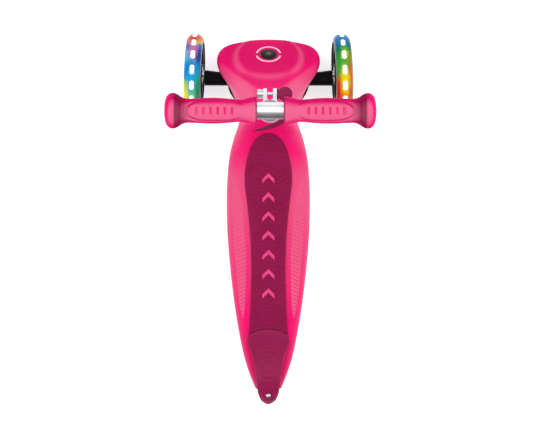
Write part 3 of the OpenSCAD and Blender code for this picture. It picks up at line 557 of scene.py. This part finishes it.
def wheel_turn(m, split):
    """How far forward from a wheel's top the surface is, in turns."""
    return m.over(m.math("ARCTAN2", split[1], split[2]), 2 * math.pi)


def light_window(name, unlit):
    """The lenses of a wheel's lights: a white glow, and the tyre's colour where a light is out."""
    m = Finish(name, 0.25)
    off = m.size(m.minus(wheel_turn(m, m.parts(m.place)), OUT_LIGHT / 360))
    lit = m.rising(off, OUT_HALF / 360, 400.0)
    glow = m.mix(m.spread(m.noise(3, 2), 0, 1), (0.95, 0.97, 1.0), (1, 1, 1))
    m.colour(m.mix(lit, unlit, (0.95, 0.96, 0.98)))
    m.glow(m.mix(lit, shade(unlit, 0.1), glow), 1.0)
    m.roughness(m.noise(2, 2), 0.2, 0.3)
    m.bump([(m.noise(0.6, 2), 0.006)])
    return m.material


def tyre_glow(name, lanes):
    """A cast tyre over lights. Its colours change round the wheel in a left, a middle and a right lane, and
    pale near a light. Its inner rim is grey and its wall black."""
    m = Finish(name, 0.24, coat=0.03, coat_rough=0.05, specular=0.04)
    split = m.parts(m.place)
    across = m.times(split[0], 1000.0)
    turn = wheel_turn(m, split)
    drift = m.times(m.minus(m.noise(14, 3, stretch=(0.6, 1.6, 1.6)), 0.5), 0.07)
    place = m.plus(m.plus(turn, drift), 0.5, clamp=True)
    left, middle, right = (
        m.ramp(place, [((a + 180) / 360, shade(srgb(*c), 0.78)) for a, c in lane], smooth=True)
        for lane in lanes)
    streak = m.times(m.minus(m.noise(7, 2, stretch=(0.7, 3, 3)), 0.5), 7.0)
    side = m.plus(across, streak)
    at_left = m.rising(m.times(side, -1.0), 3.2, 0.25)
    at_right = m.rising(side, 3.2, 0.25)
    base = m.mix(at_right, m.mix(at_left, middle, left), right)
    light = m.plus(m.times(turn, float(LIGHTS)), LIGHT_PHASE)
    off = m.times(m.from_whole(light), 2 * math.pi * FRONT_R / LIGHTS)
    past_straight = m.math("MAXIMUM", m.minus(m.size(off), LENS_L - LENS_W), 0.0)
    halo = m.rising(m.length(past_straight, across), 4.2, -0.45)
    lit = m.mix(halo, base, (0.93, 0.96, 1.0))
    radius = m.length(m.times(split[2], 1000.0), m.times(split[1], 1000.0))
    rim = m.rising(radius, 52.6, -1.2)
    wall = m.rising(radius, 50.9, -1.2)
    lit = m.mix(wall, m.mix(rim, lit, (0.45, 0.46, 0.48)), (0.030, 0.031, 0.033))
    m.colour(lit)
    m.glow(lit, 0.12)
    m.roughness(m.noise(6, 3), 0.18, 0.28)
    m.bump([(m.noise(9, 2), 0.02)])
    return m.material


# Colours round each front tyre, seen from behind: degrees forward from the top, and the colour there.
LEFT_LANES = (
    [(-180, (45, 120, 210)), (-90, (230, 90, 60)), (-42, (225, 225, 60)), (-27, (160, 205, 80)),
     (-17, (20, 140, 200)), (-4, (10, 135, 205)), (10, (85, 180, 225)), (24, (140, 160, 210)),
     (34, (105, 100, 185)), (44, (225, 105, 110)), (54, (235, 78, 58)), (90, (228, 60, 50)),
     (180, (45, 120, 210))],
    [(-180, (45, 120, 210)), (-90, (240, 170, 60)), (-46, (120, 200, 140)), (-28, (30, 180, 225)),
     (-12, (22, 172, 232)), (0, (15, 150, 215)), (8, (110, 150, 205)), (16, (215, 130, 190)),
     (30, (225, 125, 175)), (38, (247, 190, 130)), (47, (240, 90, 62)), (62, (235, 72, 56)),
     (90, (230, 60, 50)), (130, (235, 120, 50)), (180, (45, 120, 210))],
    [(-180, (45, 120, 210)), (-80, (120, 190, 80)), (-40, (40, 165, 110)), (-26, (40, 175, 115)),
     (-16, (50, 185, 150)), (-8, (15, 172, 230)), (4, (20, 155, 220)), (14, (45, 72, 160)),
     (26, (40, 85, 180)), (35, (30, 135, 205)), (42, (250, 200, 80)), (54, (247, 140, 65)),
     (66, (235, 75, 60)), (90, (228, 60, 50)), (180, (45, 120, 210))])
RIGHT_LANES = (
    [(-180, (40, 150, 90)), (-90, (120, 90, 200)), (-42, (220, 55, 45)), (-28, (225, 75, 35)),
     (-18, (215, 120, 40)), (-10, (85, 180, 60)), (6, (62, 175, 66)), (18, (45, 160, 75)),
     (29, (25, 125, 95)), (39, (10, 112, 160)), (52, (0, 112, 190)), (90, (0, 105, 180)),
     (180, (40, 150, 90))],
    [(-180, (40, 150, 90)), (-90, (230, 60, 60)), (-44, (250, 150, 30)), (-32, (255, 228, 15)),
     (-14, (252, 232, 18)), (-5, (190, 220, 40)), (5, (80, 182, 60)), (16, (195, 222, 45)),
     (27, (95, 190, 65)), (37, (20, 160, 185)), (50, (0, 150, 218)), (64, (0, 140, 212)),
     (90, (0, 135, 208)), (180, (40, 150, 90))],
    [(-180, (40, 150, 90)), (-90, (240, 150, 40)), (-40, (180, 100, 60)), (-27, (200, 125, 50)),
     (-12, (222, 105, 45)), (2, (190, 115, 60)), (11, (140, 150, 45)), (20, (120, 150, 45)),
     (31, (40, 105, 105)), (42, (0, 95, 160)), (56, (0, 115, 190)), (90, (0, 120, 195)),
     (180, (40, 150, 90))])
grip_rubber = grip_finish()
left_glow = tyre_glow("left_glow", LEFT_LANES)
right_glow = tyre_glow("right_glow", RIGHT_LANES)
left_glass = light_window("left_glass", shade(srgb(235, 72, 56), 0.75))
right_glass = light_window("right_glass", shade(srgb(0, 140, 212), 0.75))

# ---- Deck shell -----------------------------------------------------------------------------
deck = smooth_rows(DECK_ROWS, 14)


def arch_power(y):
    """Power of the deck's cross section: fuller on the flat deck, rounder on the nose."""
    return np.interp(y, [95, 150], [0.5, 0.82])


def deck_height(x, y):
    """Height of the deck's top surface."""
    width, rim, top, _ = lookup(deck, y)
    e = arch_power(y)
    share = np.minimum(1, np.abs(x) / width)
    return rim + (top - rim) * (1 - share ** (2 / e)) ** (e / 2)


def shell_skin(inset):
    """The shell's surface, or its inner one: a grid of points from nose to tail and from left to right."""
    rows = []
    a = np.radians(90 - 90 * np.linspace(0, 1, 57) ** 1.25)[::-1]
    t = np.linspace(0, 1, 9)[1:]
    for y, width, rim, top, low in deck:
        y = min(max(y, DECK_ROWS[-1][0] + inset), DECK_ROWS[0][0] - inset)
        width, rim, top = max(width - inset, 0.3), rim - 0.4 * inset, top - inset
        e, draft = arch_power(y), min(3.6, 0.3 * width)
        x = np.concatenate([width * np.sin(a) ** e, width - draft * t * t])
        z = np.concatenate([rim + (top - rim) * np.maximum(0, np.cos(a)) ** e, rim - (rim - low) * t])
        half = np.stack([x, np.full_like(x, y), z], -1)
        rows.append(np.concatenate([(half * [-1, 1, 1])[:0:-1], half]))
    return np.array(rows)


def grid_normals(points):
    """Unit directions away from a grid of points, up at its middle."""
    along = np.gradient(points, axis=0)
    across = np.gradient(points, axis=1)
    n = np.cross(across, along)
    size = np.linalg.norm(n, axis=-1, keepdims=True)
    return -n / np.maximum(size, 1e-9) * np.sign(-n[:, n.shape[1] // 2, 2].mean())


def seam_outline(half, front, back):
    """The opening under the brake's front edge, whose front follows the seam's arc."""
    x = np.linspace(half, -half, 41)
    return [(-half, back), (half, back)] + [(v, front - SEAM_R + math.sqrt(SEAM_R**2 - v * v)) for v in x]


def nose_step(points):
    """The shallow plateau round the lock button: raised inside a soft ring, sunk just outside it."""
    back = np.array(KINGPIN.inverted())
    local = points * MM @ back[:3, :3].T + back[:3, 3]
    local = local / MM
    rho = np.hypot(local[..., 0], local[..., 1])
    rise = 1.5 - 3.4 * step(43, 52, rho) + 1.9 * step(54, 74, rho)
    where = step(44, 24, local[..., 1]) * step(150, 172, points[..., 1]) * step(-75, -50, local[..., 2])
    return rise * where


outer = shell_skin(0)
outer = outer + grid_normals(outer) * nose_step(outer)[..., None]
shell = solid("shell", *slab(outer, shell_skin(WALL)))
combine(shell, [
    solid("cut_slot", *prism(box_outline(-15, 15, -300, -185), 20, 100)),
    solid("cut_bay", *prism(box_outline(-24, 24, -187, -168), 50, 80)),
    solid("cut_seam", *prism(seam_outline(28.4, -165.8, -187), 62.5, 82.5)),
    solid("cut_axle", *prism(circle(7.6), -60, 60), REAR_WHEEL @ placed(0, 0, 0, (0, 90, 0))),
    solid("cut_button", *prism(circle(12.5, 96), -14, 26), KINGPIN),
    solid("cut_column", *prism(circle(14.6, 96), -8, 52), COLUMN)])
finish_piece(shell, "deck", shell_pink, ["deck_shell"])

# ---- Ribbed panels beside the pad -------------------------------------------------------------
tread_rows = smooth_rows(TREAD_ROWS, 12)
for side, name in ((-1, "tread_left"), (1, "tread_right")):
    y = np.linspace(TREAD_ROWS[0][0], TREAD_ROWS[-1][0], 330)
    inner, outer_x = lookup(tread_rows, y)
    share = (1 - np.cos(np.pi * np.linspace(0, 1, 36))) / 2
    x = inner[:, None] + (outer_x - inner)[:, None] * share
    yy = np.repeat(y[:, None], len(share), 1)
    edge = np.minimum(x - inner[:, None], outer_x[:, None] - x)
    turn = (yy + 0.42 * x) / 5.9
    part = turn - np.floor(turn)
    relief = 0.30 * part - 0.42 * np.exp(-((np.minimum(part, 1 - part) * 5.9 / 0.75) ** 2))
    z = deck_height(x, yy) - 0.55 + (0.62 + 0.6 * relief) * step(0, 1.1, edge)
    top = np.stack([side * x, yy, z], -1)
    low = np.stack([side * x, yy, deck_height(x, yy) - 1.2], -1)
    finish_piece(solid(name, *slab(top, low)), "deck", tread_sheen_pink, sharp=70)

# ---- Grip pad ---------------------------------------------------------------------------------
pad_rows = smooth_rows(PAD_ROWS, 12)


def seam_shift(x, y):
    """How far the rows bend back toward the tail, to follow the brake's front edge."""
    return np.clip((-60 - y) / 105, 0, 1) * (SEAM_R - np.sqrt(SEAM_R**2 - x * x))


y = np.concatenate([[120.5, 120.3, 120, 119.5], np.linspace(119, -166.2, 562)])
(width,) = lookup(pad_rows, y)
u = np.sin(np.pi / 2 * np.linspace(-1, 1, 49))
x = width[:, None] * u
rows_y = np.repeat(y[:, None], len(u), 1)
yy = rows_y - seam_shift(x, rows_y)
bow = x * x / (2 * np.interp(yy, [-170, -90, 60], [60, 95, 120]))
turn = (yy + bow) / 3.6
groove = (0.5 + 0.5 * np.cos(2 * np.pi * turn)) ** 1.6
edge = np.minimum(width[:, None] - np.abs(x), np.minimum(120.8 - rows_y, rows_y + 166.4))
rounding = 1 - np.sqrt(1 - (1 - np.clip(edge / 1.2, 0, 1)) ** 2 * 0.98)
relief = PAD_T - 0.95 * groove * step(0.8, 3.5, edge) - 1.1 * rounding
top = np.stack([x, yy, deck_height(x, yy) + relief], -1)
low = np.stack([x, yy, deck_height(x, yy) + 0.1], -1)
finish_piece(solid("pad", *slab(top, low)), "deck", pad_rubber, ["grip_pad"], sharp=75)

# ---- Plain ring round the lock button, in two arcs ----------------------------------------------
surface = BVHTree.FromObject(shell, bpy.context.evaluated_depsgraph_get())


def on_shell(x, y, lift):
    """The point of the shell under (x, y) of the kingpin's frame, a little above the surface."""
    start = KINGPIN @ Vector((x * MM, y * MM, 0.05))
    down = KINGPIN.to_3x3() @ Vector((0, 0, -1))
    hit = surface.ray_cast(start, down)
    return (hit[0] + hit[1] * lift * MM) / MM


for name, start in (("button_ring_front", 12), ("button_ring_rear", 192)):
    angles = np.radians(np.linspace(start, start + 156, 90))
    lift = [-0.5, 0.16, 0.28, 0.28, 0.16, -0.5]
    radii = [16.0, 16.1, 16.6, 18.2, 18.7, 18.8]
    points = [on_shell(r * math.cos(a), r * math.sin(a), h) for a in angles for r, h in zip(radii, lift)]
    ends = [tuple(range(6)), tuple(range(6 * 89, 6 * 90))]
    arc = solid(name, points, grid_faces(90, 6, wrap=True) + ends)
    finish_piece(arc, "deck", ring_paint, sharp=50)

# ---- Brake ------------------------------------------------------------------------------------
brake = smooth_rows(BRAKE_ROWS, 14)


def signed_power(v, e):
    return np.sign(v) * np.abs(v) ** e


along = np.concatenate([[0], np.cumsum(np.hypot(np.diff(brake[:, 0]), np.diff(brake[:, 2])))])
ring_middle = np.interp(224.5, -brake[:, 0], along)


def brake_relief(x, far, width):
    """Depth of the brake's grooves: rings at its middle, arcs before and behind, lines at its sides."""
    r, turned = np.hypot(x, far), np.degrees(np.arctan2(np.abs(x), far))
    deep = np.zeros_like(x)
    for radius, low, high in ((7.2, 0, 180), (10.4, 0, 180), (18.2, 130, 180), (24.5, 140, 180),
                              (31, 147, 180), (18.6, 0, 30), (27.2, 0, 20)):
        span = step(low - 2, low + 2, turned) * step(high + 2, high - 2, turned) if low or high < 180 else 1
        deep = deep + np.exp(-(((r - radius) / 0.7) ** 2)) * span
    line = np.exp(-(((np.abs(x) - 0.70 * width) / 0.8) ** 2)) * step(-50, -38, far) * step(46, 36, far)
    return 0.8 * np.clip(deep, 0, 1) + 0.4 * line


def brake_skin(inset, thickness, relief):
    """The brake's upper surface, or its lower one: a grid of points from front to tail."""
    rows = []
    for i, (y, width, z) in enumerate(brake):
        before, after = brake[max(i - 1, 0)], brake[min(i + 1, len(brake) - 1)]
        d = np.array([after[0] - before[0], after[2] - before[2]])
        n = np.array([d[1], -d[0]]) / np.linalg.norm(d)
        w, share, fade = max(0.3, width - inset), np.clip((y + 200) / 32, 0, 1), min(1, width / 12)
        arch = (1.2 + 2.2 * (1 - share)) * fade
        wall = arch + 3.3 + 1.6 * (1 - share) * fade
        u = np.sin(np.pi / 2 * np.linspace(-1, 1, 61))
        x = w * signed_power(u, 0.85)
        deep = thickness + arch * np.abs(u) ** 2.4
        if relief:
            rounding = 0.8 * np.clip(1 - (w - np.abs(x)) / 1.2, 0, 1) ** 2
            deep = deep + brake_relief(x, along[i] - ring_middle, w) + rounding
        down = np.linspace(0, 1, 5)[1:]
        left, right = ((deep[k] + (wall - deep[k]) * down) for k in (0, -1))
        deep = np.concatenate([left[::-1], deep, right])
        x = np.concatenate([np.full(4, -w), x, np.full(4, w)])
        bend = share * (SEAM_R - np.sqrt(SEAM_R**2 - x * x))
        rows.append(np.stack([x, y - n[0] * deep - bend, z - n[1] * deep], -1))
    return np.array(rows)


fender = solid("fender", *slab(brake_skin(0, 0, True), brake_skin(2.4, 3, False)))
lug = [(-5 * math.sin(math.radians(a)), -5 * math.cos(math.radians(a))) for a in range(-90, 91, 10)]
for side in (-1, 1):
    turned = Matrix(((0, 0, 1, 0), (1, 0, 0, 0), (0, 1, 0, 0), (0, 0, 0, 1)))
    outline = lug + [(-5, 11.4), (5, 11.4)]
    body = prism(outline, side * LUG_X - 2.5, side * LUG_X + 2.5)
    combine(fender, [solid("lug", *body, placed(*BRAKE_PIVOT) @ turned)], "UNION")
combine(fender, [
    solid("cut_pin", *prism(circle(2.26, 32), -40, 40), placed(*BRAKE_PIVOT, (0, 90, 0))),
    solid("cut_screw", *prism(circle(2.1, 32), 0, 120), placed(*BRAKE_SCREW)),
    solid("cut_head", *prism(circle(3.7, 48), 73.6, 94), placed(*BRAKE_SCREW))])
finish_piece(fender, "brake", brake_plastic, ["brake_fender"], sharp=42)

# ---- Clamp lever's pin cover --------------------------------------------------------------------
cover = solid("pin_cover", *prism(circle(CAM_R, 72, *CAM), 8.6, 9.5), CLAMP, round_edges=0.4)
finish_piece(cover, "lever", lever_plastic)

# ---- Handlebar grips --------------------------------------------------------------------------
def grip_relief(x, radius, angle):
    """A raised oval on the upper side of a grip, with a groove round it and six short dents across it."""
    v = radius * np.sin(angle)
    up = np.cos(angle) > 0
    where = (np.abs((np.abs(x) - 71.5) / 38.0) ** 3.2 + np.abs(v / 12.6) ** 2.2) ** (1 / 2.6)
    near = (where - 1) * 13
    fade = step(30, 52, np.abs(x))
    island = 0.9 * step(0.9, -0.9, near) * fade - 0.75 * np.exp(-(((near - 1.0) / 1.3) ** 2)) * fade
    dented = sum(np.exp(-(((np.abs(x) - DENT_FIRST - DENT_STEP * k) / 1.7) ** 2)) for k in range(6))
    dented = dented * step(8, 3.6, np.abs(v))
    on = (radius > BAR_R + 2.2) & (np.abs(x) < 114)
    return np.where(up & on, island - 1.8 * dented, 0)


grip_line = smooth_rows(GRIP_ROWS, 16)
fine = np.arange(40, 112, 0.42)
spots = np.concatenate([
    grip_line[grip_line[:, 0] < 40],
    np.stack([fine, np.interp(fine, grip_line[:, 0], grip_line[:, 1])], -1),
    grip_line[grip_line[:, 0] > 112]])
profile = ([[17.8, BAR_R + 0.02]] + spots.tolist()
           + [[140, 4], [140, 0.02], [BAR_END + 1.5, 0.02], [BAR_END + 1.5, BAR_R + 0.02]])
for side, name in ((-1, "left"), (1, "right")):
    points, faces = revolve([(side * px, pr) for px, pr in profile], 180, grip_relief)
    grip = solid("handle_" + name, points, faces, BAR)
    finish_piece(grip, "tbar", grip_rubber, ["grip_" + name], sharp=40)

# ---- Front tyres and their light windows --------------------------------------------------------
CROWN = 11.0


def tread_radius(x):
    """Radius of a front tyre's tread at a distance x from its middle plane."""
    return FRONT_R - CROWN + CROWN * np.sqrt(np.maximum(0, 1 - (np.asarray(x) / HALF_W) ** 2))


def tyre_profile(r, r_in, crown):
    """A tyre's cross section: points of (distance from its middle plane, radius)."""
    turns = np.radians(np.linspace(-90, 90, 49))
    tread = [(HALF_W * math.sin(a), r - crown + crown * math.cos(a)) for a in turns]
    return ([(-HALF_W + 2, r_in), (-HALF_W + 0.6, r_in + 0.4), (-HALF_W, r_in + 1.5)] + tread
            + [(HALF_W, r_in + 1.5), (HALF_W - 0.6, r_in + 0.4), (HALF_W - 2, r_in)])


def window_lens(angle):
    """One pill-shaped lens on the tread, in the wheel's frame: rings of points from its rim inwards."""
    straight = LENS_L - LENS_W
    points = []
    for share, lift in ((1.0, -0.3), (0.98, 0.03), (0.86, 0.05), (0.6, 0.06), (0.3, 0.06)):
        for k in range(40):
            a = 2 * math.pi * k / 40
            px = LENS_W * math.cos(a) * share
            py = (LENS_W * math.sin(a) + math.copysign(straight, math.sin(a))) * share
            r = float(tread_radius(px)) + lift
            turned = math.radians(angle) + py / FRONT_R
            points.append((px, r * math.sin(turned), r * math.cos(turned)))
    faces = grid_faces(5, 40, wrap=True) + [tuple(range(160, 200)), tuple(range(40))[::-1]]
    return points, faces


for name, where, glow, glass in (("left", LEFT_WHEEL, left_glow, left_glass),
                                 ("right", RIGHT_WHEEL, right_glow, right_glass)):
    points, faces = revolve(tyre_profile(FRONT_R, FRONT_R - 12.5, CROWN), 220)
    tyre = solid(name + "_tread", points, faces, where, own_frame=True)
    finish_piece(tyre, "wheel_" + name, glow, [name + "_tyre"])
    points, faces = [], []
    for k in range(LIGHTS):
        lens, its_faces = window_lens(FIRST_LIGHT + 360 / LIGHTS * k)
        faces += [tuple(i + len(points) for i in f) for f in its_faces]
        points += lens
    lenses = solid(name + "_windows", points, faces, where, own_frame=True)
    finish_piece(lenses, "wheel_" + name, glass, sharp=60)
rear_tread = solid("rear_tread", *revolve(tyre_profile(REAR_R, REAR_R - 10.5, 8.5), 160), REAR_WHEEL)
finish_piece(rear_tread, "wheel_rear", rear_rubber, ["rear_tyre"])

# ---- Finishes of the CAD nodes that stay ----------------------------------------------------------
NODE_FINISH = {
    "deck_core": black_nylon, "pad_accents": accent, "core_screws": zinc, "steering_head": black_nylon,
    "head_screws": zinc, "lower_column": anodised, "column_bolt": zinc, "column_bush": ring_grey,
    "clamp_collar": silver_alloy, "clamp_bolt": zinc, "clamp_nut": zinc, "clamp_saddle": black_nylon,
    "clamp_lever": lever_plastic, "lever_pin": zinc, "upper_column": anodised, "tube_guide": black_nylon,
    "handlebar_tube": bar_metal, "bar_plugs": black_nylon, "lock_button": gloss_black,
    "lock_spring": spring_steel, "kingpin_bolt": zinc, "kingpin_nut": zinc, "kingpin_washers": zinc,
    "truck_frame": truck_black, "truck_bushes": bush_white, "steering_elastomer": elastomer,
    "front_axle_bolts": zinc, "front_axle_washers": zinc, "rear_hub": hub_dark,
    "rear_bearings": bearing_steel, "rear_spacer": zinc,
    "rear_axle_bolt": zinc, "rear_axle_nut": zinc, "rear_axle_washers": zinc, "brake_pin": zinc,
    "brake_spring": spring_steel, "brake_screw": zinc}
for side, glass in (("left", left_glass), ("right", right_glass)):
    NODE_FINISH.update({side + "_light_ring": glass, side + "_hub": hub_dark, side + "_cap": hub_cap,
                        side + "_bearings": bearing_steel, side + "_spacer": zinc})
for name, material in NODE_FINISH.items():
    kept = nodes[name]
    kept.data.materials.clear()
    kept.data.materials.append(material)

# ---- Floor, light and camera --------------------------------------------------------------------
floor_finish = Finish("floor_finish", 0.9, specular=0.1)
floor_finish.colour(floor_finish.mix(floor_finish.noise(400, 2), (0.93, 0.93, 0.93), (0.95, 0.95, 0.95)))
floor_finish.glow((1, 1, 1), 0.55)
floor = solid("floor", *prism(circle(6000, 96), -20, -0.2))
floor.data.materials.append(floor_finish.material)

world = bpy.data.worlds.new("studio")
scene.world = world
world.use_nodes = True
world.node_tree.nodes["Background"].inputs[0].default_value = (1, 1, 1, 1)
world.node_tree.nodes["Background"].inputs[1].default_value = 0.17


def softbox(name, where, aim, size, power):
    """A soft light. Lengths are metres, and the power is watts."""
    lamp = bpy.data.lights.new(name, "AREA")
    lamp.shape, lamp.size, lamp.size_y, lamp.energy = "RECTANGLE", size[0], size[1], power
    made = bpy.data.objects.new(name, lamp)
    scene.collection.objects.link(made)
    made.location = where
    made.rotation_euler = (Vector(aim) - Vector(where)).to_track_quat("-Z", "Y").to_euler()


softbox("top_box", (0, 0.1, 2.5), (0, 0.0, 0), (3.0, 2.4), 46)
softbox("left_box", (-2.1, -0.5, 1.1), (0, 0, 0.1), (1.6, 1.2), 27)
softbox("right_box", (2.1, -0.5, 1.1), (0, 0, 0.1), (1.6, 1.2), 27)

# Two cards seen only in reflections: a grey one behind the tail, for the metal's dark lower edge, and a
# paler one past the nose.
for name, y, grey, glow in (("rear_card", -372, 0.10, 0.03), ("front_card", 1400, 0.5, 0.55)):
    card = solid(name, *prism(box_outline(-1500, 1500, y, y + 2), 40, 1500))
    card_finish = Finish(name + "_finish", 1.0, specular=0.0)
    tones = [shade((grey, grey, grey), k) for k in (0.8, 1.2)]
    card_finish.colour(card_finish.mix(card_finish.noise(200), *tones))
    card_finish.glow((1, 1, 1), glow)
    card.data.materials.append(card_finish.material)
    card.visible_camera = card.visible_diffuse = card.visible_shadow = card.visible_transmission = False

# The camera stands high above and a little behind, and looks down. Lengths are metres and angles radians.
TILT, SWING = math.radians(9.5), 0.0044
AIM, AWAY = Vector((0, -0.004, 0.060)), 5.5
camera_data = bpy.data.cameras.new("camera")
camera = bpy.data.objects.new("camera", camera_data)
scene.collection.objects.link(camera)
camera.location = AIM + AWAY * Vector((-SWING, -math.sin(TILT), math.cos(TILT)))
camera.rotation_euler = (TILT, -SWING, 0)
camera_data.sensor_width = 36
camera_data.lens = 250.35
camera_data.shift_x = 0.4 / 537
camera_data.clip_start, camera_data.clip_end = 0.1, 20
scene.camera = camera
scene.view_settings.view_transform = "Standard"
